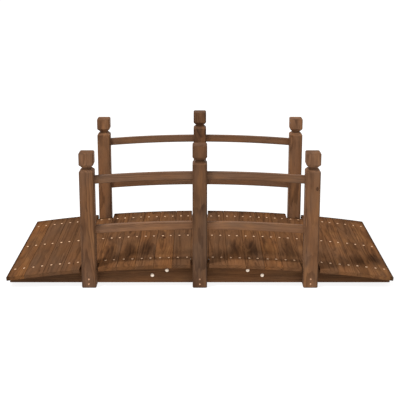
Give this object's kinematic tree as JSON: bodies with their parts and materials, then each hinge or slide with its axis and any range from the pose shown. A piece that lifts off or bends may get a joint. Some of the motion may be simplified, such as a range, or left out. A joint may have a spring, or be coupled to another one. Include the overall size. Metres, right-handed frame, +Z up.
{
  "type": "garden moon bridge",
  "caption": "Low arched timber garden bridge: slatted deck on flat-bottomed arched beams, square posts with grooved caps and curved double rails on both sides.",
  "frame": {"origin": "on the ground, at the middle of the bridge's footprint", "axes": "+X along the walkway, +Y across it from the front side to the back, +Z up"},
  "size_m": [1.5002, 0.67, 0.568],
  "materials": {
    "post_wood": "matt brown stained and lightly scorched softwood",
    "rail_wood": "matt brown stained and lightly scorched softwood",
    "beam_wood": "matt dark brown stained softwood",
    "deck_wood": "matt brown stained and lightly scorched softwood boards",
    "fixing_brass": "dull pale plated nail, screw and bolt heads"
  },
  "bodies": {
    "root": {"beam_back_left": "beam_wood", "beam_back_right": "beam_wood", "beam_centre_left": "beam_wood", "beam_centre_right": "beam_wood", "beam_front_left": "beam_wood", "beam_front_right": "beam_wood", "deck_board_01": "deck_wood", "deck_board_02": "deck_wood", "deck_board_03": "deck_wood", "deck_board_04": "deck_wood", "deck_board_05": "deck_wood", "deck_board_06": "deck_wood", "deck_board_07": "deck_wood", "deck_board_08": "deck_wood", "deck_board_09": "deck_wood", "deck_board_10": "deck_wood", "deck_board_11": "deck_wood", "deck_board_12": "deck_wood", "deck_board_13": "deck_wood", "deck_board_14": "deck_wood", "deck_board_15": "deck_wood", "deck_board_16": "deck_wood", "deck_board_17": "deck_wood", "deck_board_18": "deck_wood", "deck_board_19": "deck_wood", "deck_board_20": "deck_wood", "deck_board_21": "deck_wood", "post_back_centre": "post_wood", "post_back_left": "post_wood", "post_back_right": "post_wood", "post_front_centre": "post_wood", "post_front_left": "post_wood", "post_front_right": "post_wood", "rail_back_lower_left": "rail_wood", "rail_back_lower_right": "rail_wood", "rail_back_upper_left": "rail_wood", "rail_back_upper_right": "rail_wood", "rail_front_lower_left": "rail_wood", "rail_front_lower_right": "rail_wood", "rail_front_upper_left": "rail_wood", "rail_front_upper_right": "rail_wood", "splice_plate_back": "beam_wood", "splice_plate_centre": "beam_wood", "splice_plate_front": "beam_wood"}
  },
  "joints": []
}
